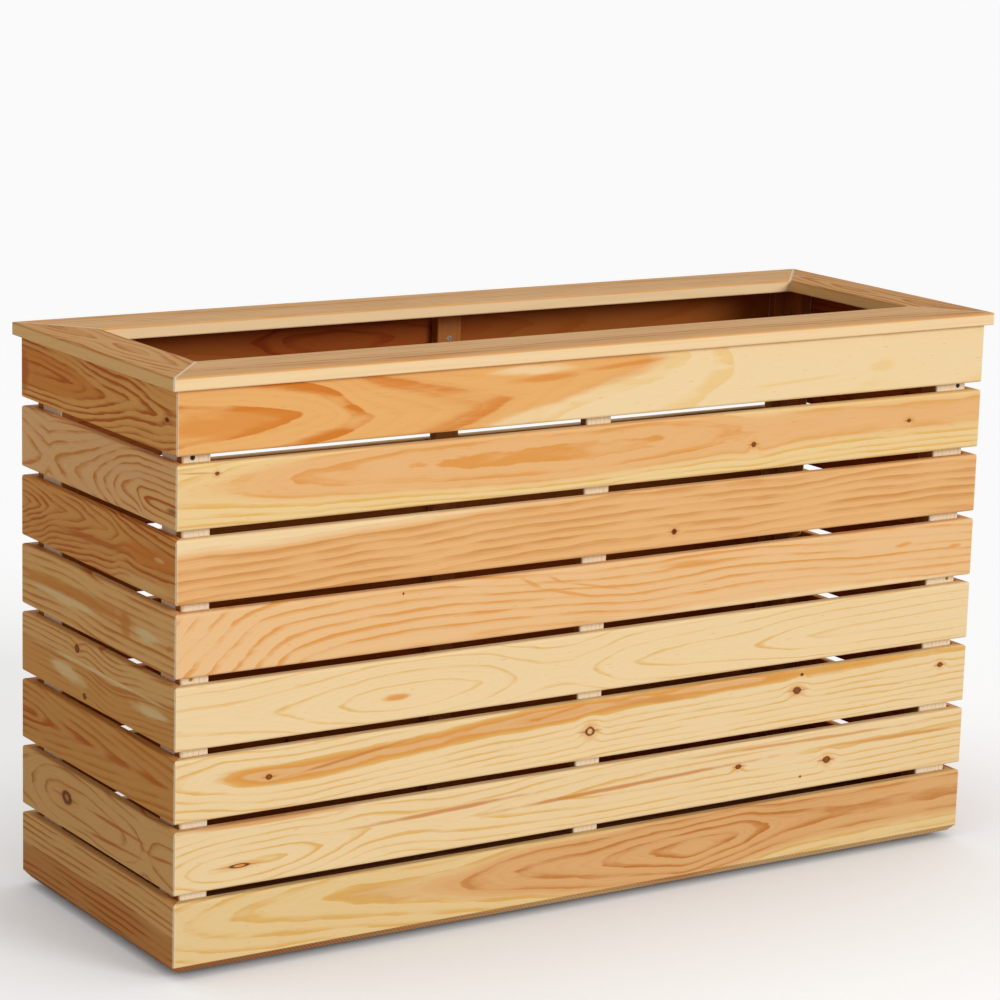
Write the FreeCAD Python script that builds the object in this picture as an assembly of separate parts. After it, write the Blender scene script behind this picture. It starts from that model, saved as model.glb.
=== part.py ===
"""Slatted wooden box planter: four mitred slat walls, inner stiles, cap frame, floor and skids.

Frame: +Z up, origin on the ground under the middle of the box, front wall towards -Y.
All lengths are in millimetres.
"""
import FreeCAD, Part
import math
import os

# Slatted box, measured over the outside faces of the slats
LENGTH = 1100.0
WIDTH = 384.0
COURSES = 8
SLAT_HEIGHT = 71.0
SLAT_GAP = 9.4
SLAT_THICKNESS = 14.0
SLAT_ARRIS = 3.5
CORNER_EASE = 1.4
MITRE_CLEARANCE = 0.15

# Lowest course: taller by a bevel that leans in under the face
BEVEL_HEIGHT = 9.0
BEVEL_DEPTH = 8.0
GROUND_CLEARANCE = 8.0

# Cap frame on top of the walls, with wider boards along the box than across it
CAP_LONG_WIDTH = 84.0
CAP_END_WIDTH = 70.0
CAP_THICKNESS = 15.0
CAP_OVERHANG = 8.0
CAP_ARRIS = 2.0

# Upright stiles inside the walls
NARROW_STILE_WIDTH = 34.0
WIDE_STILE_WIDTH = 45.0
LONG_STILE_THICKNESS = 14.0
END_STILE_THICKNESS = 20.0
STILE_ARRIS = 2.2

# Floor boards and the skids under them
FLOOR_BOARDS = 5
FLOOR_THICKNESS = 14.0
FLOOR_GAP = 3.0
FLOOR_CLEARANCE = 0.5
FLOOR_ARRIS = 1.5
SKID_NAMES = ("skid_left", "skid_middle", "skid_right")
SKID_WIDTH = 45.0
SKID_HEIGHT = 22.0
SKID_INSET = 110.0
SKID_SETBACK = 16.0
SKID_ARRIS = 2.0

# Fasteners: head and shank diameters, and how far they bite
SLAT_SCREW_HEAD = 6.0
SLAT_SCREW_SHANK = 3.0
SLAT_SCREW_BITE_SHARE = 0.7
CORNER_SCREW_HEAD = 6.0
CORNER_SCREW_SHANK = 3.4
CORNER_SCREW_INSET = 26.0
CORNER_SCREW_BITE_SHARE = 0.7
FLOOR_SCREW_HEAD = 7.0
FLOOR_SCREW_SHANK = 3.5
FLOOR_SCREW_BITE_SHARE = 0.8
CAP_NAIL_HEAD = 3.6
CAP_NAIL_SHANK = 2.2
CAP_NAIL_BITE = 30.0
HOLE_CLEARANCE = 0.1
RECESS_WIDTH_SHARE = 0.16
RECESS_SPAN_SHARE = 0.62
RECESS_DEPTH_SHARE = 0.3

# The corner screws stand in the gap under this many courses
COURSES_ABOVE_UPPER_SCREWS = 1
COURSES_ABOVE_MIDDLE_SCREWS = 4

# Where a cap nail and a foot screw stand across a stile, from its middle line towards the wall's middle
END_GRAIN_OFFSET_SHARE = 0.25

# A rounding takes at most this share of half the thinner side that it runs along
ROUND_LIMIT_SHARE = 0.85

# An edge runs along an axis where at least this share of its direction does
PARALLEL_SHARE = 0.9

# Length by which every cutting shape runs past the piece
OVERRUN = 5.0

PITCH = SLAT_HEIGHT + SLAT_GAP
FLOOR_TOP = SKID_HEIGHT + FLOOR_THICKNESS
WALL_BOTTOM = GROUND_CLEARANCE
FACE_BOTTOM = WALL_BOTTOM + BEVEL_HEIGHT
WALL_TOP = FACE_BOTTOM + COURSES * PITCH - SLAT_GAP
CAP_TOP = WALL_TOP + CAP_THICKNESS
ALONG = FreeCAD.Vector(1, 0, 0)
ACROSS = FreeCAD.Vector(0, 1, 0)
UP = FreeCAD.Vector(0, 0, 1)
DOWN = FreeCAD.Vector(0, 0, -1)

# Each wall is drawn as a front wall and then turned about Z by its quarter turns.
# Its stiles are named after the walls that they stand next to, left to right from outside.
LONG_STILES = (NARROW_STILE_WIDTH, NARROW_STILE_WIDTH, WIDE_STILE_WIDTH)
END_STILES = (WIDE_STILE_WIDTH, NARROW_STILE_WIDTH)
WALLS = (
    {"name": "front", "turns": 0, "is_long": True, "stiles": ("left", "middle", "right")},
    {"name": "right", "turns": 1, "is_long": False, "stiles": ("front", "back")},
    {"name": "back", "turns": 2, "is_long": True, "stiles": ("right", "middle", "left")},
    {"name": "left", "turns": 3, "is_long": False, "stiles": ("back", "front")},
)

pieces = {}
cutters = {}
fasteners = {}


def turned(shape, turns):
    """A copy of a shape, turned about Z by quarter turns."""
    copy = shape.copy()
    copy.rotate(FreeCAD.Vector(0, 0, 0), UP, math.degrees(turns * math.pi / 2))
    return copy


def turned_vector(vector, turns):
    """A place or direction, turned about Z by quarter turns."""
    return FreeCAD.Rotation(UP, math.degrees(turns * math.pi / 2)).multVec(vector)


def box(low, high):
    """A plain block between two corners."""
    size = high.sub(low)
    return Part.makeBox(size.x, size.y, size.z, low)


def rounded(shape, radius, along):
    """The shape with a rounding on every edge that runs along an axis."""
    sides = shape.BoundBox
    thinnest = min(sides.XLength, sides.YLength, sides.ZLength)
    limit = ROUND_LIMIT_SHARE * thinnest / 2
    chosen = [edge for edge in shape.Edges if abs(direction(edge).dot(along)) > PARALLEL_SHARE]
    return shape.makeFillet(min(radius, limit), chosen)


def direction(edge):
    """Unit vector along a straight edge."""
    return edge.tangentAt(edge.FirstParameter)


def mitre_cutter(side, run, outer, depth, next_depth, bottom, top):
    """What the saw takes off one end of a board: the mitre, and an eased tip at the outer corner."""
    half = run / 2 - MITRE_CLEARANCE
    tip_share = CORNER_EASE / (depth + next_depth)
    end_share = 1 + OVERRUN / depth
    far = half + OVERRUN
    plan = [
        (half - CORNER_EASE - OVERRUN, outer - OVERRUN),
        (half - next_depth * tip_share, outer + depth * tip_share),
        (half - next_depth * end_share, outer + depth * end_share),
        (far, outer + depth * end_share),
        (far, outer - OVERRUN),
    ]
    corners = [FreeCAD.Vector(side * x, y, bottom - OVERRUN) for x, y in plan]
    face = Part.Face(Part.makePolygon(corners + corners[:1]))
    return face.extrude(FreeCAD.Vector(0, 0, top - bottom + 2 * OVERRUN))


def mitred_board(run, outer, depth, next_depth, bottom, top, arris):
    """A board with rounded long edges, its outer face towards -Y, mitred to the boards next to it."""
    blank = box(FreeCAD.Vector(-run / 2, outer, bottom), FreeCAD.Vector(run / 2, outer + depth, top))
    moulded = rounded(blank, arris, ALONG)
    ends = [mitre_cutter(side, run, outer, depth, next_depth, bottom, top) for side in (-1, 1)]
    return moulded.cut(ends)


def bevel_cutter(run, outer, bottom):
    """A wedge that takes the bevel off the lower outer edge of a board."""
    reach = run / 2 + OVERRUN
    past = OVERRUN * BEVEL_HEIGHT / BEVEL_DEPTH
    corners = [
        FreeCAD.Vector(-reach, outer - OVERRUN, bottom + BEVEL_HEIGHT + past),
        FreeCAD.Vector(-reach, outer + BEVEL_DEPTH + OVERRUN, bottom - past),
        FreeCAD.Vector(-reach, outer - OVERRUN, bottom - past),
    ]
    face = Part.Face(Part.makePolygon(corners + corners[:1]))
    return face.extrude(FreeCAD.Vector(2 * reach, 0, 0))


def slat_span(course):
    """Lowest and highest point of a slat, counting courses from the top."""
    top = WALL_TOP - (course - 1) * PITCH
    if course == COURSES:
        return WALL_BOTTOM, top
    return top - SLAT_HEIGHT, top


def gap_under(courses):
    """Height of the middle of the gap under a number of courses, counted from the top."""
    return WALL_TOP - courses * PITCH + SLAT_GAP / 2


def slat(run, outer, course):
    """One wall slat, with a bevel under the lowest one."""
    bottom, top = slat_span(course)
    board = mitred_board(run, outer, SLAT_THICKNESS, SLAT_THICKNESS, bottom, top, SLAT_ARRIS)
    if course == COURSES:
        board = board.cut(bevel_cutter(run, outer, bottom))
    return board


def cap_board(run, outer, width, next_width):
    """One mitred board of the cap frame."""
    return mitred_board(
        run + 2 * CAP_OVERHANG, outer - CAP_OVERHANG, width, next_width, WALL_TOP, CAP_TOP, CAP_ARRIS)


def stile(left, width, outer, thickness):
    """An upright lath that stands on the floor, against the inner faces of the slats."""
    front = outer + SLAT_THICKNESS
    block = box(
        FreeCAD.Vector(left, front, FLOOR_TOP),
        FreeCAD.Vector(left + width, front + thickness, WALL_TOP))
    return rounded(block, STILE_ARRIS, UP)


def headed_pin(head, shank, length):
    """A countersunk fastener that points down, with the top of its head at height zero."""
    head_radius = head / 2
    shank_radius = shank / 2
    cone = head_radius - shank_radius
    outline = [
        FreeCAD.Vector(0, 0, 0),
        FreeCAD.Vector(head_radius, 0, 0),
        FreeCAD.Vector(shank_radius, 0, -cone),
        FreeCAD.Vector(shank_radius, 0, shank - length),
        FreeCAD.Vector(0, 0, -length),
    ]
    face = Part.Face(Part.makePolygon(outline + outline[:1]))
    return face.revolve(FreeCAD.Vector(0, 0, 0), UP, math.degrees(2 * math.pi))


def cross_recess(head):
    """The cross that a driver fits, to be cut out of a screw head."""
    half_width = head * RECESS_WIDTH_SHARE / 2
    half_span = head * RECESS_SPAN_SHARE / 2
    deep = head * RECESS_DEPTH_SHARE
    bar = box(
        FreeCAD.Vector(-half_span, -half_width, -deep),
        FreeCAD.Vector(half_span, half_width, OVERRUN))
    return bar.fuse(turned(bar, 1))


def placed(shape, head_at, pointing):
    """A fastener moved to its place, from pointing down at the origin."""
    copy = shape.copy()
    copy.Placement = FreeCAD.Placement(head_at, FreeCAD.Rotation(DOWN, pointing))
    return copy


def fasten(group, size, head_at, pointing, through, into, recessed):
    """Add one fastener and the hole for it in the two pieces that it joins."""
    head, shank, length = size
    body = headed_pin(head, shank, length)
    if recessed:
        body = body.cut(cross_recess(head))
    fasteners.setdefault(group, []).append(placed(body, head_at, pointing))
    room = 2 * HOLE_CLEARANCE
    hole = headed_pin(head + room, shank + room, length + HOLE_CLEARANCE)
    mouth = Part.makeCylinder((head + room) / 2, OVERRUN)
    for name in (through, into):
        cutters.setdefault(name, []).append(placed(hole.fuse(mouth), head_at, pointing))


def stile_places(wall):
    """Name, left edge, width and thickness of each stile of a wall, in the wall's own frame."""
    if wall["is_long"]:
        reach = LENGTH / 2 - SLAT_THICKNESS
        widths = LONG_STILES
        thickness = LONG_STILE_THICKNESS
        middle = (widths[0] - widths[-1]) / 2
        lefts = (-reach, middle - widths[1] / 2, reach - widths[-1])
    else:
        reach = WIDTH / 2 - SLAT_THICKNESS - LONG_STILE_THICKNESS
        widths = END_STILES
        thickness = END_STILE_THICKNESS
        lefts = (-reach, reach - widths[-1])
    names = [f"{wall['name']}_stile_{side}" for side in wall["stiles"]]
    return [(name, left, width, thickness) for name, left, width in zip(names, lefts, widths)]


def build_wall(wall):
    """Slats, cap board and stiles of one wall, with the fasteners that hold them."""
    name = wall["name"]
    turns = wall["turns"]
    if wall["is_long"]:
        run, outer = LENGTH, -WIDTH / 2
        cap_widths = (CAP_LONG_WIDTH, CAP_END_WIDTH)
    else:
        run, outer = WIDTH, -LENGTH / 2
        cap_widths = (CAP_END_WIDTH, CAP_LONG_WIDTH)
    inner = outer + SLAT_THICKNESS
    for course in range(1, COURSES + 1):
        pieces[f"{name}_slat_{course}"] = turned(slat(run, outer, course), turns)
    pieces[f"cap_{name}"] = turned(cap_board(run, outer, *cap_widths), turns)

    outward = turned_vector(FreeCAD.Vector(0, -1, 0), turns)
    nail_size = (CAP_NAIL_HEAD, CAP_NAIL_SHANK, CAP_THICKNESS + CAP_NAIL_BITE)
    foot_size = (
        FLOOR_SCREW_HEAD, FLOOR_SCREW_SHANK, FLOOR_THICKNESS + FLOOR_SCREW_BITE_SHARE * SKID_HEIGHT)
    for stile_name, left, width, thickness in stile_places(wall):
        pieces[stile_name] = turned(stile(left, width, outer, thickness), turns)
        middle = left + width / 2
        screw_size = (
            SLAT_SCREW_HEAD, SLAT_SCREW_SHANK, thickness + SLAT_SCREW_BITE_SHARE * SLAT_THICKNESS)
        for course in range(1, COURSES + 1):
            bottom, top = slat_span(course)
            height = (max(bottom, FLOOR_TOP) + top) / 2
            head_at = turned_vector(FreeCAD.Vector(middle, inner + thickness, height), turns)
            fasten("slat_screws", screw_size, head_at, outward,
                   stile_name, f"{name}_slat_{course}", True)
        side = 1 if middle > 0 else -1
        end_x = middle - side * END_GRAIN_OFFSET_SHARE * width
        end_y = inner + thickness / 2
        fasten("cap_nails", nail_size, turned_vector(FreeCAD.Vector(end_x, end_y, CAP_TOP), turns),
               DOWN, f"cap_{name}", stile_name, False)
        foot_at = turned_vector(FreeCAD.Vector(end_x, end_y, SKID_HEIGHT), turns)
        fasten("floor_screws", foot_size, foot_at, UP, floor_board_over(foot_at.y), stile_name, True)


def floor_layout():
    """Width of a floor board, and the front edge of each."""
    room = WIDTH - 2 * SLAT_THICKNESS - 2 * FLOOR_CLEARANCE
    width = (room - (FLOOR_BOARDS - 1) * FLOOR_GAP) / FLOOR_BOARDS
    return width, [-room / 2 + index * (width + FLOOR_GAP) for index in range(FLOOR_BOARDS)]


def floor_board_over(y):
    """Name of the floor board that a place across the box falls on."""
    width, fronts = floor_layout()
    middles = [front + width / 2 for front in fronts]
    nearest = min(range(FLOOR_BOARDS), key=lambda index: abs(middles[index] - y))
    return f"floor_board_{nearest + 1}"


def build_floor():
    """Floor boards along the box, on skids that run across it."""
    reach = LENGTH / 2 - SLAT_THICKNESS - FLOOR_CLEARANCE
    width, fronts = floor_layout()
    size = (FLOOR_SCREW_HEAD, FLOOR_SCREW_SHANK, FLOOR_THICKNESS + FLOOR_SCREW_BITE_SHARE * SKID_HEIGHT)
    first = SKID_INSET - LENGTH / 2
    step = (LENGTH - 2 * SKID_INSET) / (len(SKID_NAMES) - 1)
    skid_middles = [first + index * step for index in range(len(SKID_NAMES))]
    skid_front = fronts[0] + SKID_SETBACK
    skid_back = fronts[-1] + width - SKID_SETBACK
    for skid_name, middle in zip(SKID_NAMES, skid_middles):
        block = box(
            FreeCAD.Vector(middle - SKID_WIDTH / 2, skid_front, 0),
            FreeCAD.Vector(middle + SKID_WIDTH / 2, skid_back, SKID_HEIGHT))
        pieces[skid_name] = rounded(block, SKID_ARRIS, ACROSS)
    for index, front in enumerate(fronts):
        name = f"floor_board_{index + 1}"
        block = box(
            FreeCAD.Vector(-reach, front, SKID_HEIGHT),
            FreeCAD.Vector(reach, front + width, FLOOR_TOP))
        pieces[name] = rounded(block, FLOOR_ARRIS, ALONG)
        for skid_name, middle in zip(SKID_NAMES, skid_middles):
            fasten("floor_screws", size, FreeCAD.Vector(middle, front + width / 2, FLOOR_TOP), DOWN,
                   name, skid_name, True)


def join_corners():
    """Screws in two of the gaps, from each long wall's end stiles into the end walls' stiles."""
    length = LONG_STILE_THICKNESS + CORNER_SCREW_BITE_SHARE * NARROW_STILE_WIDTH
    size = (CORNER_SCREW_HEAD, CORNER_SCREW_SHANK, length)
    groups = {
        "upper_corner_screws": COURSES_ABOVE_UPPER_SCREWS,
        "middle_corner_screws": COURSES_ABOVE_MIDDLE_SCREWS,
    }
    for group, courses in groups.items():
        for long_wall, inward in (("front", 1), ("back", -1)):
            for end_wall, side in (("left", -1), ("right", 1)):
                head_at = FreeCAD.Vector(
                    side * (LENGTH / 2 - CORNER_SCREW_INSET),
                    inward * (SLAT_THICKNESS - WIDTH / 2),
                    gap_under(courses))
                fasten(group, size, head_at, FreeCAD.Vector(0, inward, 0),
                       f"{long_wall}_stile_{end_wall}", f"{end_wall}_stile_{long_wall}", True)


def main():
    for wall in WALLS:
        build_wall(wall)
    build_floor()
    join_corners()
    os.makedirs("parts", exist_ok=True)
    for name, shape in pieces.items():
        if name in cutters:
            shape = shape.cut(cutters[name])
        shape.exportStep(f"parts/{name}.step")
    for name, solids in fasteners.items():
        Part.makeCompound(solids).exportStep(f"parts/{name}.step")


main()
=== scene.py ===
"""Looks of the slatted pine planter: the grain of every board, the screws, the light and the camera."""
import math

import bpy
from mathutils import Color, Matrix, Vector


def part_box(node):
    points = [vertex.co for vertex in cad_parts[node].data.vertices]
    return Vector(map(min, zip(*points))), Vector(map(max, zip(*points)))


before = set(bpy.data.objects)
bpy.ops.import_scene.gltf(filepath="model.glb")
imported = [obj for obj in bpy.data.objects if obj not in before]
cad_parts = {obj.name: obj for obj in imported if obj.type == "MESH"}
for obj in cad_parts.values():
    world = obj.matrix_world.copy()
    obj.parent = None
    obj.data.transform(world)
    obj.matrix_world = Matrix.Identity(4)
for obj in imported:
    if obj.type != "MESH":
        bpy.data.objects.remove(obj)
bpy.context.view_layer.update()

MM = 0.001
UP = Vector((0, 0, 1))
LENGTHWISE = Vector((1, 0, 0))
ACROSS = Vector((0, 1, 0))
WHITE = (1.0, 1.0, 1.0, 1.0)
FULL_TONE = 255

# Camera, in metres and degrees, with its film and lens in millimetres
CAMERA_PLACE = (-2.1394, -3.2583, 1.2808)
CAMERA_HEADING = -33.03
CAMERA_TILT = 12.094
CAMERA_ROLL = 1.602
LEVEL = 90.0
SENSOR_WIDTH = 36.0
CAMERA_LENS = 120.86

# Light: one soft key from the front and right, and an even surround
KEY_STRENGTH = 1.87
KEY_FROM = (0.40, -0.85, 0.36)
KEY_SOFTNESS = 25.0
SURROUND_STRENGTH = 0.49
BACKDROP_STRENGTH = 0.975

# Floor: its size and the reach of the shade round the box in metres, what it sends back, and its glow
FLOOR_HALF_SIZE = 60.0
FLOOR_SHADE_REACH = 0.5
FLOOR_SHADE_SAMPLES = 8
FLOOR_ALBEDO = 0.62
FLOOR_GLOW = 0.52

# Wood tones, as 8-bit screen values, from pale to dark
PALE = (250, 236, 208)
CREAM = (244, 215, 166)
BUTTER = (240, 208, 150)
STRAW = (240, 203, 140)
BLUSH = (240, 197, 146)
SHELL = (238, 193, 139)
PEACH = (236, 188, 132)
MELON = (236, 183, 123)
WHEAT = (231, 182, 102)
HONEY = (236, 182, 112)
APRICOT = (236, 179, 109)
TAN = (230, 178, 118)
SAFFRON = (237, 172, 92)
FAWN = (224, 160, 84)
AMBER = (226, 156, 80)
CARAMEL = (212, 148, 82)
ORANGE = (222, 142, 62)
OCHRE = (208, 128, 50)
MARIGOLD = (214, 126, 46)
TOFFEE = (200, 126, 58)
COPPER = (190, 98, 30)
CHESTNUT = (150, 80, 32)
UMBER = (92, 44, 22)

# Painted light on the cap: tones of its edges, paler than its top, along the box and across it
LONG_CAP_LIT_EDGE = (252, 222, 174)
END_CAP_LIT_EDGE = (252, 202, 132)

# Tones of painted shade, which darken the wood under them: inside the box, and all over its floor boards
INSIDE_SHADE = (180, 118, 70)
BOX_FLOOR_SHADE = (142, 111, 99)

# Metal tones, how rough each is, and the wear on all of them
ZINC = (176, 178, 176)
YELLOW_PLATE = (206, 168, 84)
BLACK_COAT = (20, 18, 17)
PLATED_ROUGHNESS = 0.3
COATED_ROUGHNESS = 0.45
WEAR_SCALE = 900.0
WEAR_SHARES = (0.35, 0.7)
WEAR_ROUGHNESS = 0.25
WORN_TONE_SHARE = 0.72
WEAR_DEPTH = 0.1
WEAR_BUMP = 0.3

# Spans that turn a curve's share into metres
DEPTH_SPAN = 0.2
RISE_SPAN = 0.25

# How finely each kind of variation runs along and across a board, per metre
FLOW_SCALE = (6.0, 20.0)
RIPPLE_SCALE = (24.0, 130.0)
FIBRE_SCALE = (14.0, 800.0)
FLECK_SCALE = (55.0, 520.0)
BLOTCH_SCALE = (4.0, 12.0)
FADE_SCALE = (9.0, 55.0)
FINE_DETAIL = 3.0
FINE_ROUGHNESS = 0.6
FLECK_DETAIL = 1.0

# One year: where its late wood is full and ends, how years differ and fade, and the finer lines in it
LATE_FULL_SHARE = 0.95
LATE_END_SHARES = (1.0, 0.92)
YEAR_STRENGTHS = (0.4, 1.0)
FADE_SHARES = (0.35, 0.6)
LEAST_CONTRAST = 0.35
FINE_LINES = 3.7
FINE_LINE_SHARES = (0.4, 0.9)
FINE_LINE_STRENGTH = 0.12
BLOTCH_SWING = 0.5
FIBRE_SWING = 0.5
LATE_RANGE = (-0.1, 1.0)

# Edge of the heartwood, in mm: half its softness, and where a late line along it starts and is full
HEART_SOFTNESS = 4
RIM_REACH = (2.5, 0.5)

# Knots, in knot sizes: how far they stray from their shape, their tails, and how far they bend the rings.
# A power below 2 draws them to points along and across the grain.
KNOT_POWER = 1.85
KNOT_STRAY = 0.9
KNOT_TAIL_LENGTH_SHARE = 3.5
KNOT_TAIL_HEIGHT_SHARE = 0.35
KNOT_BEND_REACH = 5.0
MARK_STRAY = 1.0

# Layers of tone: where each starts, where it is full, and how strong it gets.
# Those of knots and marks are in sizes of the knot or mark, those of flecks in noise, the rest in mm.
KNOT_HALO = (3.2, 1.0, 0.5)
KNOT_TAIL = (1.2, 0.3, 0.55)
KNOT_RIM = (1.35, 0.9, 0.9)
KNOT_CORE = (0.7, 0.35, 1.0)
MARK = (1.2, 0.4, 0.8)
FLECK = (0.68, 0.78, 0.3)
# Pale slat ends: partly rubbed wear, partly a painted highlight on the corners
WEAR_AND_HIGHLIGHT_END = (1.8, 0.6, 0.45)
# The cap's pale edges and the pale lines along its mitres are painted light
CAP_LIT_EDGE = (1.2, 2.2, 0.8)
CAP_MITRE_HIGHLIGHT = (1.8, 0.6, 0.6)

# Satin surface of the wood, with its relief in mm
WOOD_ROUGHNESS = (0.45, 0.7)
WOOD_SPECULAR = 0.06
FIBRE_RELIEF_SHARE = 0.8
LATE_RELIEF_SHARE = 0.08
RELIEF_DEPTH = 0.4
RELIEF_BUMP = 0.35

# Finishes, in mm: how far painted highlights and wear stray along an edge, and how deep from a face the
# painted shade starts
WEAR_AND_HIGHLIGHT_STRAY = 1.5
MITRE_HIGHLIGHT_STRAY = 1.0
SHADE_SOFTNESS = 1.5
INSIDE_SHADE_DEPTH = 2.0
STILE_SHADE_DEPTH = 1.5

# Painted highlight: a warm line along the arris of the cap, in mm below its top
ARRIS_HIGHLIGHT_START = (0.2, 0.8)
ARRIS_HIGHLIGHT_END = (3.0, 1.6)
ARRIS_HIGHLIGHT_STRENGTH = 0.6

# Slanting planer marks on the bevel of the lowest slats, in mm, and painted shade that darkens the bevel,
# most towards one end
BEVEL_HEIGHT = 9.0
BEVEL_SOFTNESS = 1.0
HATCH_PITCH = 5.0
HATCH_SLANT = 1.2
HATCH_START_SHARES = (0.2, 0.5)
HATCH_END_SHARES = (1.0, 0.7)
HATCH_STRENGTH = 0.35
BEVEL_SHADE_FADE_SHARE = 0.6
BEVEL_SHADES = (0.2, 0.8)
DARKEST_BEVEL_SHADE = 0.9

# How each wall runs, as seen from outside: left to right, and outward
WALLS = {
    "front": (LENGTHWISE, -ACROSS),
    "right": (ACROSS, LENGTHWISE),
    "back": (-LENGTHWISE, ACROSS),
    "left": (-ACROSS, -LENGTHWISE),
}
LONG_WALLS = ("front", "back")
SEEN_WALLS = ("front", "left")
COURSES = 8
FLOOR_BOARDS = 5

# Seeds, so that no two boards have the same noise
SEED_STEP = 7.3
WALL_SEEDS = 10
CAP_SEED = 50
STILE_SEED = 60
STILE_SEEDS = 5
FLOOR_SEED = 80
SKID_SEED = 90


def grain(path, spacing, sap, heart, heart_radius, growth=1.0, tip=2.0, line=0.35, lean=0.0, shade=1.0,
          contrast=1.2, wander=3.0, ripple=1.6, rim=0.0, knots=(), marks=()):
    """Growth rings of one board, in mm.

    path: where the pith runs behind the face, as share along the board, rings deep and height on the face
    sap, heart: early and late tones outside and inside the heart radius
    growth: above 1, the outer rings get narrower
    tip: below 2, the rings are drawn out to points
    line: share of a ring's year that stays pale
    lean: how far the path shifts along for each step up
    shade: share of light on its tones, painted shade that is lower on the lower courses and the caps' tops
    contrast: how strong the late wood gets
    wander, ripple: how far the rings stray, in long and in short waves
    rim: strength of a late line along the edge of the heartwood
    knots: share, height, size, length over height, how far it bends the rings, tone of its core
    marks: soft stains, as share, height, half length, half height, slope, tone
    """
    return dict(path=path, spacing=spacing, sap=sap, heart=heart, heart_radius=heart_radius,
                growth=growth, tip=tip, line=line, lean=lean, shade=shade, contrast=contrast,
                wander=wander, ripple=ripple, rim=rim, knots=knots, marks=marks)


# A board's shade is painted shade: a share of its light, lower on the lower courses and on the caps' tops
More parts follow.
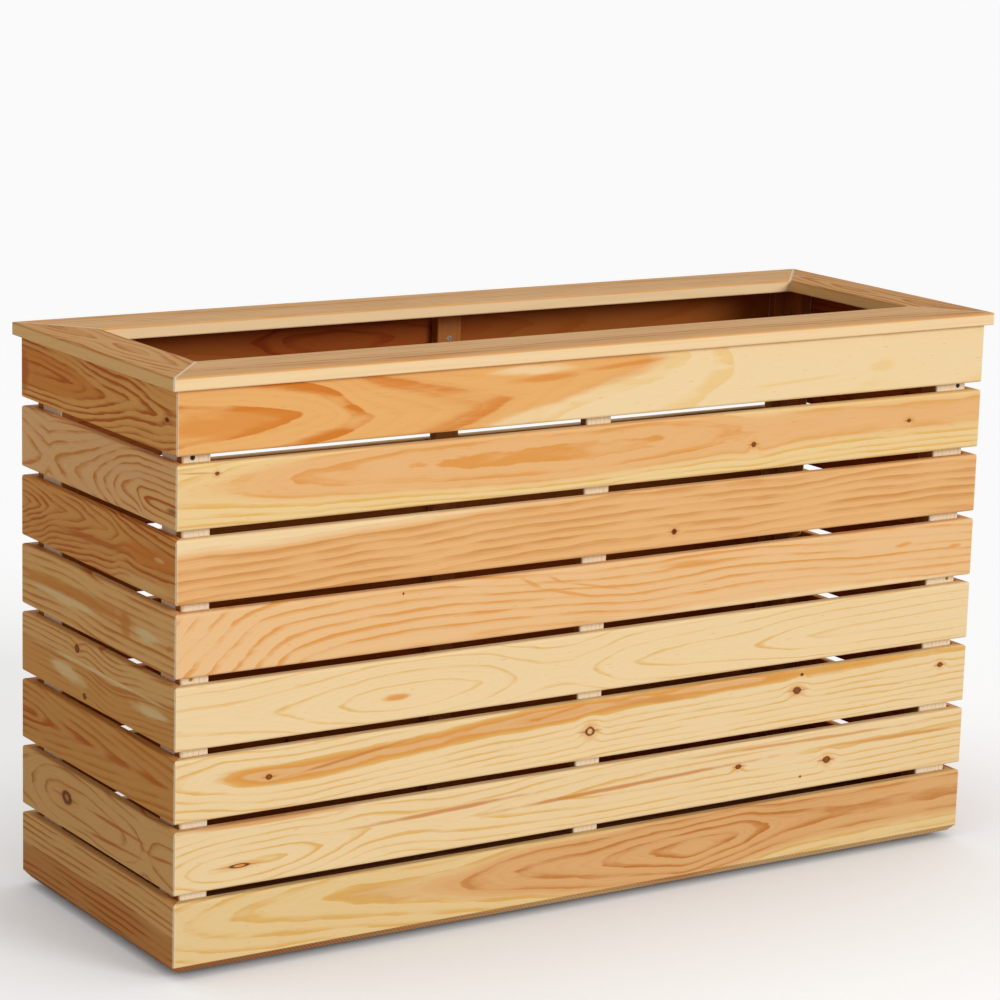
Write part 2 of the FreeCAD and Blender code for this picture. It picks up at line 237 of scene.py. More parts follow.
LONG_GRAINS = {
    1: grain([(0, 1.1, -3), (0.143, 2, -2), (0.223, 3, -11), (0.385, 4, -3), (0.45, 4.3, 16),
              (0.58, 4.75, 28), (0.64, 5.7, 14), (0.72, 6.3, 2), (0.8, 6.2, 4), (0.86, 6.4, 2),
              (0.93, 6.2, 0), (1, 6.4, 4)],
             12.0, (CREAM, STRAW), (APRICOT, MARIGOLD), 108, growth=0.7, tip=1.35, line=0.5,
             contrast=1.7, wander=4.0, ripple=3.4,
             marks=[(0.05, -5, 90, 16, 0.0, ORANGE), (0.405, 26, 58, 6, 0.0, CREAM),
                    (0.42, 16, 55, 4.5, 0.03, ORANGE), (0.52, 24, 60, 3.5, 0.06, ORANGE),
                    (0.395, -27, 64, 9, 0.17, CREAM), (0.86, -4, 22, 8, 0.1, STRAW),
                    (0.74, -14, 70, 2.5, 0.05, STRAW)]),
    2: grain([(0, 11.5, 4), (0.05, 11, 6), (0.131, 10, 8), (0.283, 9, 11), (0.45, 8.7, 9), (0.6, 9, 13),
              (0.65, 9.6, 12), (0.69, 10, 8), (0.75, 10.3, 12), (1, 10.4, 13)],
             4.5, (BUTTER, WHEAT), (MELON, AMBER), 50, contrast=1.4, wander=2.0, ripple=2.2,
             knots=[(0.687, -4, 3.0, 1.1, 1.0, CHESTNUT), (0.899, 6, 2.2, 1.3, 1.0, CHESTNUT),
                    (0.043, 24, 2.0, 1.2, 1.0, CHESTNUT)],
             marks=[(0.02, 26, 26, 1.2, -0.05, CARAMEL)]),
    3: grain([(0, 1.2, -66), (0.2, 1.2, -58), (0.45, 1.4, -46), (0.75, 1.2, -43), (0.88, 1.2, -38),
              (1, 1.6, -38)],
             10.0, (CREAM, BLUSH), (MELON, CARAMEL), 84, line=0.1, contrast=1.0, wander=6.0, ripple=3.0,
             knots=[(0.587, -17, 3.0, 1.1, 1.0, UMBER)]),
    4: grain([(0, 0.6, -92), (0.03, 0.6, -80), (0.065, 0.6, -64), (0.1, 0.6, -50), (0.14, 0.6, -40),
              (0.2, 0.6, -34), (0.3, 0.6, -31), (0.42, 0.6, -36), (0.55, 0.6, -44), (0.7, 0.6, -39),
              (0.85, 0.6, -46), (1, 0.6, -50)],
             10.5, (SHELL, AMBER), (SHELL, AMBER), 56, line=0.45, lean=-1.5, wander=5.0, ripple=3.4,
             knots=[(0.255, 29, 1.5, 0.6, 0.5, UMBER)],
             marks=[(0.74, -22, 260, 10, 0.0, SHELL), (0.9, 19, 120, 13, 0.0, SHELL),
                    (0.25, -27, 120, 7, 0.02, SHELL), (0.408, 23, 16, 3, -0.48, AMBER),
                    (0.455, 6, 48, 2.2, -0.22, AMBER), (0.442, 22, 14, 2, -0.45, AMBER),
                    (0.485, 11, 45, 1.5, -0.2, AMBER), (0.612, 22, 52, 5, -0.03, AMBER),
                    (0.9, 13, 15, 3, 0.1, AMBER), (0.975, 4, 10, 2.5, 0.0, AMBER),
                    (0.8, -35, 330, 7, 0.0, CREAM)]),
    5: grain([(0, 4.6, -2), (0.11, 4, -5), (0.177, 3, -8), (0.252, 2.3, -8), (0.35, 3, -5), (0.398, 4, -6),
              (0.45, 4.5, -7), (0.49, 4, -7), (0.537, 3, -6), (0.693, 2, -6), (0.773, 1, -5), (1, 0.3, -2)],
             10.0, (CREAM, WHEAT), (CREAM, WHEAT), 20, tip=1.6, line=0.72, shade=0.97, contrast=0.9,
             ripple=2.4,
             marks=[(0.252, -8, 27, 4, 0.0, STRAW), (0.252, -8, 20, 5, 0.0, ORANGE)]),
    6: grain([(0, 2.8, 8), (0.042, 2, 8), (0.082, 1.3, 5), (0.104, 1.1, 4), (0.25, 1.1, 12),
              (0.36, 1.2, 20), (0.462, 1.1, 25), (0.6, 1.2, 30), (0.8, 1.5, 34), (1, 1.8, 36)],
             7.5, (CREAM, WHEAT), (TAN, ORANGE), 11.5, line=0.5, shade=0.95, wander=4.0, ripple=3.2, rim=1.2,
             knots=[(0.104, 3, 2.6, 1.3, 0.0, CHESTNUT), (0.488, -1, 5.4, 1.0, 1.6, TAN),
                    (0.761, 10, 4.0, 1.5, 2.0, CHESTNUT), (0.767, 29, 1.8, 1.2, 1.0, UMBER),
                    (0.963, 15, 2.8, 1.4, 1.5, CHESTNUT)],
             marks=[(0.2, 11.5, 95, 2.2, 0.139, TOFFEE), (0.45, 27, 45, 2.4, 0.14, ORANGE),
                    (0.57, 24, 60, 4.0, -0.06, CARAMEL)]),
    7: grain([(0, 2.2, -14), (0.072, 0.4, -12), (0.128, 1, -8), (0.17, 2, -4), (0.233, 3, 6), (0.28, 3.3, 4),
              (0.328, 3, 0), (0.45, 2, 4), (0.6, 1.2, 8), (0.8, 0.8, 12), (1, 0.6, 16)],
             8.0, (CREAM, WHEAT), (CREAM, WHEAT), 4, tip=1.6, line=0.55, shade=0.93, ripple=2.4,
             knots=[(0.072, -12, 2.2, 5.0, 2.0, AMBER), (0.685, 6.5, 2.6, 1.6, 2.0, CHESTNUT),
                    (0.807, -3, 4.0, 1.2, 2.0, CHESTNUT), (0.771, -19, 1.2, 1.0, 0.5, UMBER)],
             marks=[(0.31, 12, 125, 2.8, 0.033, TOFFEE), (0.53, 6, 210, 2.8, 0.03, TOFFEE),
                    (0.76, 26, 190, 2.4, -0.005, CARAMEL), (0.9, 12.5, 115, 2.4, -0.01, CARAMEL),
                    (0.1, 34, 130, 3, 0.0, CARAMEL)]),
    8: grain([(0, 8.2, 14), (0.06, 7, 16), (0.155, 6, 18), (0.323, 5, 8), (0.39, 4, 9), (0.493, 3, 4),
              (0.567, 2, 3), (0.6, 1.6, 1), (0.627, 1.2, 0), (0.66, 1.6, 3), (0.69, 2, 6), (0.717, 2.8, 8),
              (0.753, 3.4, 11), (0.8, 3.7, 13), (0.83, 3.8, 13), (0.9, 3.8, 14), (1, 3.8, 15)],
             8.0, (BUTTER, WHEAT), (TAN, TOFFEE), 44, tip=1.7, line=0.4, lean=0.3, shade=0.89,
             contrast=1.3, ripple=3.0),
}
# The end walls' tones are warmer and more saturated than the long walls', a painted shade colour for their
# side away from the key
END_GRAINS = {
    1: grain([(0, 1.2, 4), (0.2, 1.4, 4), (0.364, 2, 2), (0.464, 3, 1), (0.58, 4, 2), (0.727, 5, 7),
              (0.9, 6, 2), (1, 6.6, 4)],
             6.5, (SAFFRON, COPPER), (ORANGE, COPPER), 26, tip=1.3, line=0.3, contrast=1.7, ripple=4.0,
             knots=[(0.943, 1, 2.6, 1.8, 1.0, UMBER)],
             # This mark is painted shade, darkening the board at the corner where its run starts
             marks=[(0.02, -4, 14, 26, 0.0, COPPER)]),
    2: grain([(0, 7, -12), (0.15, 8, -13), (0.19, 8.3, -13), (0.218, 8, -13), (0.35, 7, -14),
              (0.473, 6, -13), (0.545, 5, -12), (0.61, 4, -11), (0.66, 3, -10), (0.76, 2, -8),
              (0.805, 1, -12), (1, 0.2, -14)],
             7.5, (MELON, OCHRE), (HONEY, COPPER), 17, tip=1.6, line=0.45, shade=1.05, contrast=1.6,
             ripple=2.6,
             marks=[(0.98, -15, 16, 4, 0.0, CHESTNUT)]),
    3: grain([(0, 1, 4), (0.07, 2, 8), (0.145, 3, 10), (0.195, 4, 13), (0.31, 5, 15), (0.4, 5.6, 16),
              (0.47, 6.3, 16), (0.6, 7, 15), (0.66, 8, 15), (0.8, 8.6, 10), (1, 9, 8)],
             6.0, (FAWN, COPPER), (FAWN, COPPER), 52, tip=1.3, line=0.3, contrast=1.6, ripple=4.0,
             marks=[(0.82, -26, 85, 9, 0.02, HONEY), (0.5, -3, 100, 5, 0.04, COPPER),
                    (0.86, 6, 84, 14, 0.0, MARIGOLD), (0.9, 7, 14, 3.0, 0.0, HONEY)]),
    4: grain([(0, 1, -44), (0.3, 1, -40), (0.6, 1, -48), (1, 1, -46)],
             9.0, (HONEY, TOFFEE), (HONEY, TOFFEE), 44, line=0.3, contrast=1.4, wander=4.0, ripple=3.0,
             marks=[(0.36, 4, 165, 11, 0.0, OCHRE), (0.3, -6, 95, 6, 0.0, BUTTER),
                    (0.69, 0, 16, 18, 0.0, OCHRE), (0.83, -2, 34, 8, 0.0, BUTTER),
                    (0.97, -4, 12, 4, 0.2, OCHRE)]),
    5: grain([(0, 1, -58), (0.4, 1, -56), (0.62, 1, -66), (0.75, 1, -60), (1, 1, -52)],
             7.0, (HONEY, TOFFEE), (FAWN, TOFFEE), 66, line=0.4, shade=0.96, contrast=1.4, ripple=3.0,
             rim=0.7,
             knots=[(0.38, 24, 4.6, 1.1, 1.0, CHESTNUT), (0.43, -26, 3.2, 1.2, 1.0, CHESTNUT)],
             marks=[(0.31, -8, 50, 10, -0.06, BUTTER), (0.85, -4, 46, 7, 0.04, BUTTER),
                    (0.5, 9, 190, 2.5, 0.0, BUTTER)]),
    6: grain([(0, 0.6, 1), (0.118, 1, 1), (0.245, 2, 0), (0.49, 3, 2), (0.736, 4, 1), (0.955, 5, 2),
              (1, 5.2, 2)],
             8.0, (FAWN, OCHRE), (FAWN, COPPER), 30, tip=1.3, line=0.3, shade=0.92, contrast=1.7, ripple=2.6,
             marks=[(0.06, 1, 26, 5, 0.0, COPPER), (0.2, 0, 26, 5, 0.0, COPPER),
                    (0.43, 2, 30, 4, 0.0, COPPER), (0.66, 1, 40, 5, 0.0, COPPER),
                    (0.86, 2, 46, 4, 0.0, COPPER)]),
    7: grain([(0, 3.4, 2), (0.1, 2.6, 4), (0.2, 1.4, 4), (0.311, 0.6, 4), (0.42, 1, 4), (0.6, 1.4, -4),
              (0.75, 2.2, -6), (0.83, 3, -4), (0.88, 2.6, -4), (1, 2, -6)],
             11.0, (HONEY, TOFFEE), (HONEY, TOFFEE), 12, line=0.6, shade=0.91, contrast=1.5, ripple=2.6,
             knots=[(0.311, 4, 6.6, 1.9, 1.0, TOFFEE)],
             marks=[(0.62, 5, 85, 2.4, -0.005, COPPER), (0.62, -18, 80, 2.4, 0.05, COPPER),
                    (0.93, -2, 30, 2.4, 0.1, COPPER)]),
    8: grain([(0, 1, -58), (0.5, 1.2, -56), (1, 1, -60)],
             8.0, (HONEY, TOFFEE), (CARAMEL, COPPER), 62, shade=0.93, contrast=1.8, wander=4.0),
}
LONG_CAP_GRAIN = grain([(0, 3, -30), (0.3, 3.4, -38), (0.6, 3, -34), (1, 3.6, -40)],
                       8.0, (PEACH, CARAMEL), (TAN, TOFFEE), 40, shade=0.92)
END_CAP_GRAIN = grain([(0, 1, -4), (0.22, 2, -2), (0.4, 3, 4), (0.55, 2.4, 6), (0.75, 3.4, 2), (1, 5, 6)],
                      9.0, (APRICOT, OCHRE), (FAWN, OCHRE), 24, tip=1.4, line=0.3, shade=0.78,
                      contrast=1.6, ripple=3.0)
STILE_GRAIN = grain([(0, 2.0, -50), (0.5, 2.4, -46), (1, 1.8, -52)],
                    6.0, (PALE, BUTTER), (PALE, BUTTER), 20, line=0.6, shade=0.94)
FLOOR_GRAIN = grain([(0, 2.0, 4), (0.3, 3.6, -4), (0.6, 2.6, -10), (1, 4.4, 6)],
                    9.0, (TAN, CARAMEL), (HONEY, TOFFEE), 30)


def linear(tone, shade=1.0):
    """Colour socket value for 8-bit screen values, with a share of their light."""
    colour = Color([value / FULL_TONE for value in tone]).from_srgb_to_scene_linear()
    return tuple(shade * channel for channel in colour) + (1.0,)


class Nodes:
    """Short names for the shader nodes that the materials use."""

    def __init__(self, name):
        self.material = bpy.data.materials.new(name)
        self.material.use_nodes = True
        self.tree = self.material.node_tree
        self.shader = self.tree.nodes["Principled BSDF"]

    def put(self, value, socket):
        if isinstance(value, bpy.types.NodeSocket):
            self.tree.links.new(value, socket)
        else:
            socket.default_value = value

    def node(self, kind, inputs=(), **settings):
        made = self.tree.nodes.new(kind)
        for key, value in settings.items():
            setattr(made, key, value)
        for socket, value in zip(made.inputs, inputs):
            self.put(value, socket)
        return made

    def math(self, operation, *values):
        return self.node("ShaderNodeMath", values, operation=operation).outputs[0]

    def add(self, *values):
        return self.math("ADD", *values)

    def subtract(self, *values):
        return self.math("SUBTRACT", *values)

    def multiply(self, *values):
        return self.math("MULTIPLY", *values)

    def divide(self, *values):
        return self.math("DIVIDE", *values)

    def length(self, first, second, power=2.0):
        """Length of a vector with two sides. A lower power makes a circle more like a diamond."""
        powers = [self.math("POWER", self.math("ABSOLUTE", side), power) for side in (first, second)]
        return self.math("POWER", self.add(*powers), 1 / power)

    def between(self, share, low, high):
        """Low at a share of 0, and high at 1."""
        return self.math("MULTIPLY_ADD", share, high - low, low)

    def swing(self, noise, span):
        """A noise that runs from 0 to 1, as a swing of this span round zero."""
        return self.between(noise, -span / 2, span / 2)

    def dot(self, vector, direction):
        made = self.node("ShaderNodeVectorMath", (vector, direction), operation="DOT_PRODUCT")
        return made.outputs["Value"]

    def vector(self, x, y, z):
        return self.node("ShaderNodeCombineXYZ", (x, y, z)).outputs[0]

    def place(self):
        return self.node("ShaderNodeTexCoord").outputs["Object"]

    def noise(self, vector, detail=2.0, roughness=0.5):
        made = self.node("ShaderNodeTexNoise")
        self.put(vector, made.inputs["Vector"])
        made.inputs["Scale"].default_value = 1.0
        made.inputs["Detail"].default_value = detail
        made.inputs["Roughness"].default_value = roughness
        return made.outputs["Fac"]

    def chance(self, value):
        """A steady random number for each whole number."""
        made = self.node("ShaderNodeTexWhiteNoise", noise_dimensions="1D")
        self.put(value, made.inputs["W"])
        return made.outputs["Value"]

    def smooth(self, value, low, high):
        """0 up to low and 1 from high on, or the other way round where low is above high."""
        made = self.node("ShaderNodeMapRange", interpolation_type="SMOOTHSTEP")
        self.put(value, made.inputs["Value"])
        start, end = (0.0, 1.0) if low < high else (1.0, 0.0)
        made.inputs["From Min"].default_value = min(low, high)
        made.inputs["From Max"].default_value = max(low, high)
        made.inputs["To Min"].default_value = start
        made.inputs["To Max"].default_value = end
        return made.outputs["Result"]

    def hump(self, value, start, end):
        """Rises from 0 to 1 over the start, and falls to 0 over the end, which is written high to low."""
        return self.multiply(self.smooth(value, *start), self.smooth(value, *end))

    def curve(self, share, points):
        made = self.node("ShaderNodeFloatCurve")
        line = made.mapping.curves[0]
        for place in points[1:-1]:
            line.points.new(*place)
        line.points[0].location = points[0]
        line.points[len(points) - 1].location = points[-1]
        for point in line.points:
            point.handle_type = "AUTO_CLAMPED"
        made.mapping.update()
        self.put(share, made.inputs["Value"])
        return made.outputs[0]

    def mix(self, share, first, second, blend="MIX"):
        made = self.node("ShaderNodeMix", data_type="RGBA", blend_type=blend)
        colours = [socket for socket in made.inputs if socket.type == "RGBA"]
        self.put(share, made.inputs["Factor"])
        self.put(first, colours[0])
        self.put(second, colours[1])
        return next(socket for socket in made.outputs if socket.type == "RGBA")

    def layer(self, colour, tone, distance, shape, unit=1.0):
        """A tone over a colour. Its shape is where it starts, where it is full, and how strong it gets."""
        start, full, strength = shape
        share = self.multiply(self.smooth(distance, start * unit, full * unit), strength)
        return self.mix(share, colour, linear(tone))

    def darkened(self, colour, tone):
        return self.mix(1.0, colour, linear(tone), "MULTIPLY")

    def bump(self, height, distance, strength):
        made = self.node("ShaderNodeBump")
        made.inputs["Strength"].default_value = strength
        made.inputs["Distance"].default_value = distance
        self.put(height, made.inputs["Height"])
        self.put(made.outputs["Normal"], self.shader.inputs["Normal"])


class Board:
    """Coordinates of one board: run along it, v up its show face, w into it, and u, the share along it."""

    def __init__(self, n, node, along, up, inward, seed):
        low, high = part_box(node)
        size = high - low
        self.length, self.height, self.thickness = (abs(size.dot(axis)) for axis in (along, up, inward))
        start = (low + high) / 2 - along * self.length / 2 - inward * self.thickness / 2
        place = n.node("ShaderNodeVectorMath", (n.place(), start), operation="SUBTRACT").outputs[0]
        self.n = n
        self.run = n.dot(place, along)
        self.v = n.dot(place, up)
        self.w = n.dot(place, inward)
        self.u = n.divide(self.run, self.length)
        self.seed = seed

    def noise(self, scale, detail=2.0, roughness=0.5):
        """Noise that is drawn out along the board."""
        n = self.n
        along, across = scale
        run = n.math("MULTIPLY_ADD", self.run, along, self.seed * SEED_STEP)
        place = n.vector(run, n.multiply(self.v, across), n.multiply(self.w, across))
        return n.noise(place, detail, roughness)

    def from_end(self):
        """Distance from the nearer end."""
        n = self.n
        return n.math("MINIMUM", self.run, n.subtract(self.length, self.run))

    def reach(self, share, height, half_run, half_rise, slope=0.0, power=2.0):
        """Distance from a place on the face, 1 on an ellipse of these half sizes."""
        n = self.n
        away = n.subtract(self.run, share * self.length)
        lift = n.math("MULTIPLY_ADD", away, -slope, self.v)
        rise = n.subtract(lift, height * MM)
        return n.length(n.divide(away, half_run * MM), n.divide(rise, half_rise * MM), power)


def ring_radius(n, board, rings, ripple):
    """Distance from the pith, with the wander of a grown tree."""
    share = board.u
    if rings["lean"]:
        share = n.math("MULTIPLY_ADD", board.v, -rings["lean"] / board.length, share)
    spacing = rings["spacing"] * MM
    depths = []
    rises = []
    for place, count, height in rings["path"]:
        depths.append((place, spacing * count ** (1 / rings["growth"]) / DEPTH_SPAN))
        rises.append((place, 0.5 + height * MM / RISE_SPAN))
    depth = n.multiply(n.curve(share, depths), DEPTH_SPAN)
    pith = n.swing(n.curve(share, rises), RISE_SPAN)
    radius = n.length(n.subtract(board.v, pith), n.add(depth, board.w), rings["tip"])
    radius = n.add(radius, n.swing(board.noise(FLOW_SCALE), rings["wander"] * 2 * MM))
    return n.add(radius, n.swing(ripple, rings["ripple"] * MM))


def knot_reaches(n, board, rings, ripple):
    """For each knot: distance from it and from its tail in knot sizes, its bend, and the tone of its core."""
    found = []
    for share, height, size, stretch, bend, core in rings["knots"]:
        stray = n.swing(ripple, KNOT_STRAY)
        run = size * stretch
        reach = n.add(board.reach(share, height, run, size, power=KNOT_POWER), stray)
        tail_run = KNOT_TAIL_LENGTH_SHARE * run
        tail = n.add(board.reach(share, height, tail_run, KNOT_TAIL_HEIGHT_SHARE * size), stray)
        found.append((reach, tail, bend * size * MM, core))
    return found


def bent_radius(n, radius, knots):
    """Rings that bend round the knots."""
    for reach, tail, bend, core in knots:
        if bend:
            radius = n.add(radius, n.multiply(n.smooth(reach, KNOT_BEND_REACH, 0.0), bend))
    return radius


def latewood(n, board, rings, radius, fibre):
    """How late in its year the wood at each place grew: a slow rise and a quick fall in every ring."""
    count = n.math("MAXIMUM", n.divide(radius, rings["spacing"] * MM), 0.0)
    count = n.math("POWER", count, rings["growth"])
    late = n.hump(n.math("FRACT", count), (rings["line"], LATE_FULL_SHARE), LATE_END_SHARES)
    year = n.chance(n.add(n.math("FLOOR", count), board.seed))
    late = n.multiply(late, n.between(year, *YEAR_STRENGTHS))
    fade = n.smooth(board.noise(FADE_SCALE), *FADE_SHARES)
    late = n.multiply(late, n.between(fade, LEAST_CONTRAST, rings["contrast"]))
    fine = n.smooth(n.math("FRACT", n.multiply(count, FINE_LINES)), *FINE_LINE_SHARES)
    late = n.add(late, n.multiply(fine, FINE_LINE_STRENGTH))
    late = n.add(late, n.swing(board.noise(BLOTCH_SCALE), BLOTCH_SWING))
    late = n.add(late, n.swing(fibre, FIBRE_SWING))
    if rings["rim"]:
        from_edge = n.math("ABSOLUTE", n.subtract(radius, rings["heart_radius"] * MM))
        rim = n.smooth(from_edge, *(reach * MM for reach in RIM_REACH))
        late = n.add(late, n.multiply(rim, rings["rim"]))
    return n.smooth(late, *LATE_RANGE)


def paint_rings(n, rings, radius, late):
    """Sapwood and heartwood, each between its early and its late tone."""
    outside = (rings["heart_radius"] + HEART_SOFTNESS) * MM
    inside = (rings["heart_radius"] - HEART_SOFTNESS) * MM
    outer = n.mix(late, *(linear(tone, rings["shade"]) for tone in rings["sap"]))
    inner = n.mix(late, *(linear(tone, rings["shade"]) for tone in rings["heart"]))
    return n.mix(n.smooth(radius, outside, inside), outer, inner)


def paint_marks(n, board, colour, rings, ripple):
    """Soft streaks and stains."""
    for share, height, half_run, half_rise, slope, tone in rings["marks"]:
        reach = board.reach(share, height, half_run, half_rise, slope)
        colour = n.layer(colour, tone, n.add(reach, n.swing(ripple, MARK_STRAY)), MARK)
    return colour


def paint_knots(n, colour, knots):
    """Amber halo, brown tail along the grain, dark rim and core."""
    for reach, tail, bend, core in knots:
        colour = n.layer(colour, AMBER, reach, KNOT_HALO)
        colour = n.layer(colour, CHESTNUT, tail, KNOT_TAIL)
        colour = n.layer(colour, UMBER, reach, KNOT_RIM)
        colour = n.layer(colour, core, reach, KNOT_CORE)
    return colour


def wood(node, along, up, inward, rings, seed, finish=None):
    """Pine with growth rings round a pith that runs behind the face, knots, fibres and a satin surface."""
    n = Nodes("pine_" + node)
    board = Board(n, node, along, up, inward, seed)
    ripple = board.noise(RIPPLE_SCALE)
    fibre = board.noise(FIBRE_SCALE, FINE_DETAIL, FINE_ROUGHNESS)
    knots = knot_reaches(n, board, rings, ripple)
    radius = bent_radius(n, ring_radius(n, board, rings, ripple), knots)
    late = latewood(n, board, rings, radius, fibre)
    colour = paint_rings(n, rings, radius, late)
    colour = n.layer(colour, TOFFEE, board.noise(FLECK_SCALE, FLECK_DETAIL), FLECK)
    colour = paint_marks(n, board, colour, rings, ripple)
    colour = paint_knots(n, colour, knots)
    if finish:
        colour = finish(n, board, colour, fibre)

    n.put(colour, n.shader.inputs["Base Color"])
    n.put(n.between(fibre, *WOOD_ROUGHNESS), n.shader.inputs["Roughness"])
    n.shader.inputs["Specular IOR Level"].default_value = WOOD_SPECULAR
    relief = n.add(n.multiply(fibre, FIBRE_RELIEF_SHARE), n.multiply(late, LATE_RELIEF_SHARE))
    n.bump(relief, RELIEF_DEPTH * MM, RELIEF_BUMP)
    return n.material


def shaded_below(n, board, colour, depth):
    """Painted shade: a brown that darkens the wood from this depth under the face on."""
    inside = n.smooth(board.w, depth, depth + SHADE_SOFTNESS * MM)
    return n.mix(inside, colour, n.darkened(colour, INSIDE_SHADE))


def slat_finish(n, board, colour, fibre):
    """Pale ends, partly rubbed wear and partly a painted highlight on the corners, and painted shade on the
    side that faces into the box.
    """
    from_end = n.add(board.from_end(), n.swing(fibre, WEAR_AND_HIGHLIGHT_STRAY * MM))
    colour = n.layer(colour, PALE, from_end, WEAR_AND_HIGHLIGHT_END, MM)
    # Painted shade on the side that faces into the box
    return shaded_below(n, board, colour, board.thickness - INSIDE_SHADE_DEPTH * MM)


def bottom_slat_finish(n, board, colour, fibre):
    """As on the other slats, with slanting planer marks and painted shade on the bevel, the shade deepest
    towards one end.
    """
    colour = slat_finish(n, board, colour, fibre)
    edge = BEVEL_HEIGHT * MM - board.height / 2
    on_bevel = n.smooth(board.v, edge, edge - BEVEL_SOFTNESS * MM)
    slant = n.add(board.run, n.multiply(board.v, HATCH_SLANT))
    slant = n.math("FRACT", n.divide(slant, HATCH_PITCH * MM))
    hatch = n.hump(slant, HATCH_START_SHARES, HATCH_END_SHARES)
    # Painted shade: the bevel is darker all over and most towards the start of the run, with the planer marks
    # on it
    shade = n.math("MULTIPLY_ADD", hatch, HATCH_STRENGTH, n.smooth(board.u, BEVEL_SHADE_FADE_SHARE, 0.0))
    shade = n.math("MINIMUM", n.between(shade, *BEVEL_SHADES), DARKEST_BEVEL_SHADE)
    return n.mix(n.multiply(on_bevel, shade), colour, linear(CHESTNUT))


def shaded_floor_finish(n, board, colour, fibre):
    """Painted shade: dark all over, as the floor of the box lies in shade."""
    return n.darkened(colour, BOX_FLOOR_SHADE)


def stile_finish(n, board, colour, fibre):
    """Painted shade on its sides and towards the inside; it stays pale only on the face that the gaps show.
    """
    return shaded_below(n, board, colour, STILE_SHADE_DEPTH * MM)


def cap_finish_for(lit_edge_tone, mitre_slope):
    """Painted light: edges paler than the top face, a warm painted highlight along the arris, and a pale
    painted highlight along the mitres.
    """
    def finish(n, board, colour, fibre):
        colour = n.layer(colour, lit_edge_tone, board.w, CAP_LIT_EDGE, MM)
        arris = n.hump(board.w, *([height * MM for height in side] for side in (ARRIS_HIGHLIGHT_START, ARRIS_HIGHLIGHT_END)))
        colour = n.mix(n.multiply(arris, ARRIS_HIGHLIGHT_STRENGTH), colour, linear(AMBER))
        inset = n.multiply(n.add(board.v, board.height / 2), mitre_slope)
        from_mitre = n.add(n.subtract(board.from_end(), inset), n.swing(fibre, MITRE_HIGHLIGHT_STRAY * MM))
        return n.layer(colour, PALE, from_mitre, CAP_MITRE_HIGHLIGHT, MM)
    return finish


def metal(name, tone, roughness, metallic):
    """Plated or coated screw metal with fine wear."""
    n = Nodes(name)
    scale = (WEAR_SCALE, WEAR_SCALE, WEAR_SCALE)
    place = n.node("ShaderNodeVectorMath", (n.place(), scale), operation="MULTIPLY").outputs[0]
    wear = n.noise(place, FINE_DETAIL, FINE_ROUGHNESS)
    worn = tuple(value * WORN_TONE_SHARE for value in tone)
    n.put(n.mix(n.smooth(wear, *WEAR_SHARES), linear(tone), linear(worn)), n.shader.inputs["Base Color"])
    n.put(n.between(wear, roughness, roughness + WEAR_ROUGHNESS), n.shader.inputs["Roughness"])
    n.shader.inputs["Metallic"].default_value = metallic
    n.bump(wear, WEAR_DEPTH * MM, WEAR_BUMP)
    return n.material


def dress(node, material):
    """Put one material on a CAD node."""
    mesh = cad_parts[node].data
    mesh.materials.clear()
    mesh.materials.append(material)


def dress_slats(wall, number):
    """Slats of one wall. The walls that are out of sight have the grains in reverse order."""
    along, outward = WALLS[wall]
    grains = LONG_GRAINS if wall in LONG_WALLS else END_GRAINS
    for course in range(1, COURSES + 1):
        rings = grains[course] if wall in SEEN_WALLS else grains[COURSES + 1 - course]
        finish = bottom_slat_finish if course == COURSES else slat_finish
        node = f"{wall}_slat_{course}"
        dress(node, wood(node, along, UP, -outward, rings, WALL_SEEDS * number + course, finish))


def dress_cap(wall, number):
    """Cap board of one wall. Its mitres run from corner to corner of the unequal long and end boards."""
    along, outward = WALLS[wall]
    long_low, long_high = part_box("cap_front")
    end_low, end_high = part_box("cap_left")
    slope = (end_high - end_low).x / (long_high - long_low).y
    node = f"cap_{wall}"
    if wall in LONG_WALLS:
        rings = LONG_CAP_GRAIN
        finish = cap_finish_for(LONG_CAP_LIT_EDGE, slope)
    else:
        rings = END_CAP_GRAIN
        finish = cap_finish_for(END_CAP_LIT_EDGE, 1 / slope)
    dress(node, wood(node, along, -outward, -UP, rings, CAP_SEED + number, finish))


def dress_stiles(wall, number):
    """Upright stiles behind one wall's slats."""
    along, outward = WALLS[wall]
    sides = ("left", "middle", "right") if wall in LONG_WALLS else ("front", "back")
    for index, side in enumerate(sides):
        node = f"{wall}_stile_{side}"
        seed = STILE_SEED + STILE_SEEDS * number + index
        dress(node, wood(node, UP, along, -outward, STILE_GRAIN, seed, stile_finish))


def dress_base():
    """Floor boards and skids."""
    for index in range(1, FLOOR_BOARDS + 1):
        node = f"floor_board_{index}"
        dress(node, wood(node, LENGTHWISE, ACROSS, -UP, FLOOR_GRAIN, FLOOR_SEED + index, shaded_floor_finish))
    for index, side in enumerate(("left", "middle", "right")):
        node = f"skid_{side}"
        dress(node, wood(node, ACROSS, LENGTHWISE, UP, FLOOR_GRAIN, SKID_SEED + index))


def dress_fasteners():
    """Zinc plate out of sight, and two kinds of corner screw that show in the gaps."""
    zinc = metal("zinc_plate", ZINC, PLATED_ROUGHNESS, 1.0)
    for node in ("slat_screws", "cap_nails", "floor_screws"):
        dress(node, zinc)
    dress("upper_corner_screws", metal("black_phosphate", BLACK_COAT, COATED_ROUGHNESS, 0.0))
    dress("middle_corner_screws", metal("yellow_plate", YELLOW_PLATE, PLATED_ROUGHNESS, 1.0))


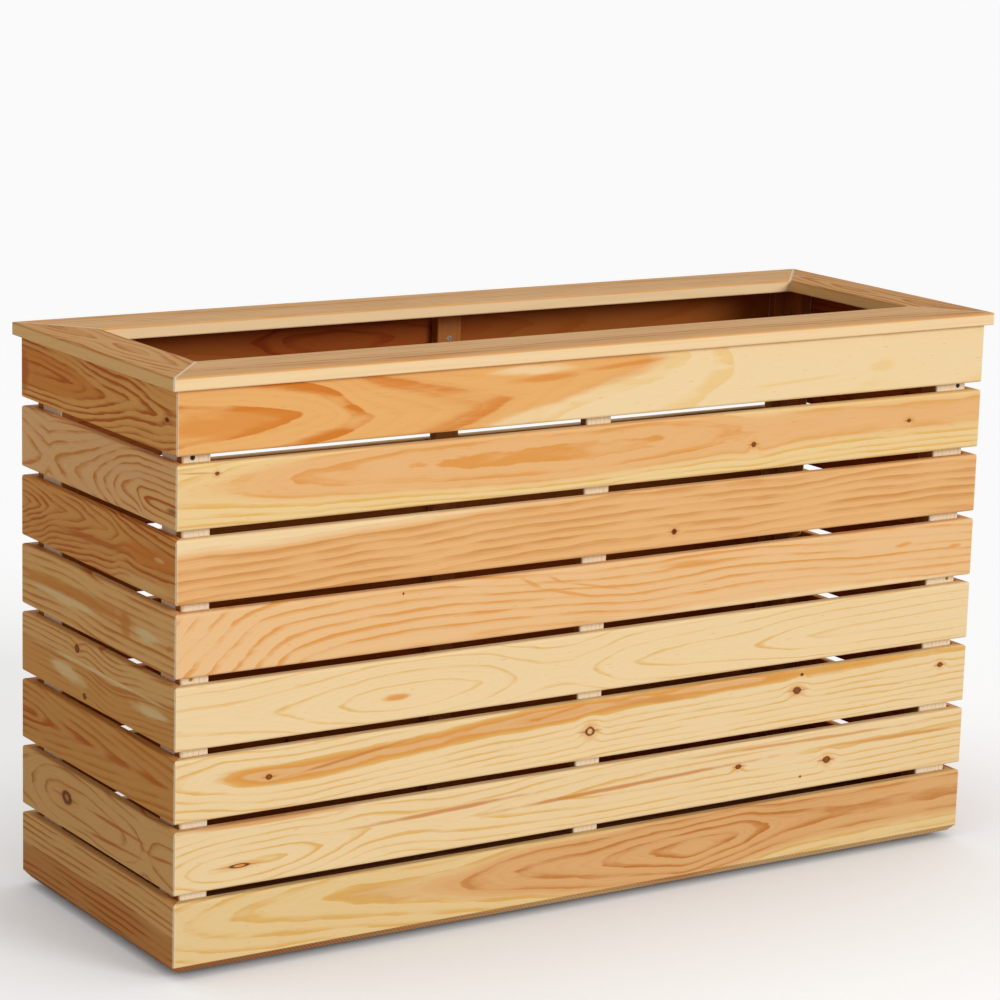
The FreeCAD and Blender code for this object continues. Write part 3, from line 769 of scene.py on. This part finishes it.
def build_floor():
    """Pale floor that also makes the background, and keeps the shadow."""
    mesh = bpy.data.meshes.new("studio_floor")
    half = FLOOR_HALF_SIZE
    corners = [(-half, -half, 0), (half, -half, 0), (half, half, 0), (-half, half, 0)]
    mesh.from_pydata(corners, [], [(0, 1, 2, 3)])
    floor = bpy.data.objects.new("studio_floor", mesh)
    bpy.context.scene.collection.objects.link(floor)
    n = Nodes("studio_floor")
    n.shader.inputs["Base Color"].default_value = (FLOOR_ALBEDO, FLOOR_ALBEDO, FLOOR_ALBEDO, 1.0)
    n.shader.inputs["Roughness"].default_value = 1.0
    n.shader.inputs["Specular IOR Level"].default_value = 0.0
    n.shader.inputs["Emission Color"].default_value = WHITE
    path = n.node("ShaderNodeLightPath").outputs
    seen = n.math("MAXIMUM", path["Is Camera Ray"], path["Is Glossy Ray"])
    seen = n.math("MAXIMUM", seen, path["Is Transmission Ray"])
    shade = n.node("ShaderNodeAmbientOcclusion", samples=FLOOR_SHADE_SAMPLES)
    shade.inputs["Distance"].default_value = FLOOR_SHADE_REACH
    glow = n.multiply(shade.outputs["AO"], FLOOR_GLOW)
    n.put(n.multiply(seen, glow), n.shader.inputs["Emission Strength"])
    mesh.materials.append(n.material)


def build_surround():
    """Even light from all round, white to the camera."""
    world = bpy.data.worlds.new("studio_surround")
    bpy.context.scene.world = world
    world.use_nodes = True
    tree = world.node_tree
    background = tree.nodes["Background"]
    background.inputs["Color"].default_value = WHITE
    path = tree.nodes.new("ShaderNodeLightPath")
    seen = path.outputs["Is Camera Ray"]
    for other in ("Is Glossy Ray", "Is Transmission Ray"):
        either = tree.nodes.new("ShaderNodeMath")
        either.operation = "MAXIMUM"
        tree.links.new(seen, either.inputs[0])
        tree.links.new(path.outputs[other], either.inputs[1])
        seen = either.outputs[0]
    level = tree.nodes.new("ShaderNodeMapRange")
    level.inputs["To Min"].default_value = SURROUND_STRENGTH
    level.inputs["To Max"].default_value = BACKDROP_STRENGTH
    tree.links.new(seen, level.inputs["Value"])
    tree.links.new(level.outputs["Result"], background.inputs["Strength"])


def build_key():
    """Soft key light."""
    lamp = bpy.data.lights.new("key", "SUN")
    lamp.energy = KEY_STRENGTH
    lamp.angle = math.radians(KEY_SOFTNESS)
    key = bpy.data.objects.new("key", lamp)
    key.rotation_euler = Vector(KEY_FROM).to_track_quat("Z", "Y").to_euler()
    bpy.context.scene.collection.objects.link(key)


def turned(degrees, axis):
    return Matrix.Rotation(math.radians(degrees), 4, axis)


def build_camera():
    """Camera at the viewing angle of the photograph."""
    data = bpy.data.cameras.new("camera")
    data.sensor_width = SENSOR_WIDTH
    data.lens = CAMERA_LENS
    data.clip_end = 2 * FLOOR_HALF_SIZE
    camera = bpy.data.objects.new("camera", data)
    aim = turned(CAMERA_HEADING, "Z") @ turned(LEVEL - CAMERA_TILT, "X") @ turned(CAMERA_ROLL, "Z")
    camera.matrix_world = Matrix.Translation(CAMERA_PLACE) @ aim
    bpy.context.scene.collection.objects.link(camera)
    bpy.context.scene.camera = camera


for number, wall in enumerate(WALLS):
    dress_slats(wall, number)
    dress_cap(wall, number)
    dress_stiles(wall, number)
dress_base()
dress_fasteners()
build_floor()
build_surround()
build_key()
build_camera()
bpy.context.scene.view_settings.view_transform = "Standard"
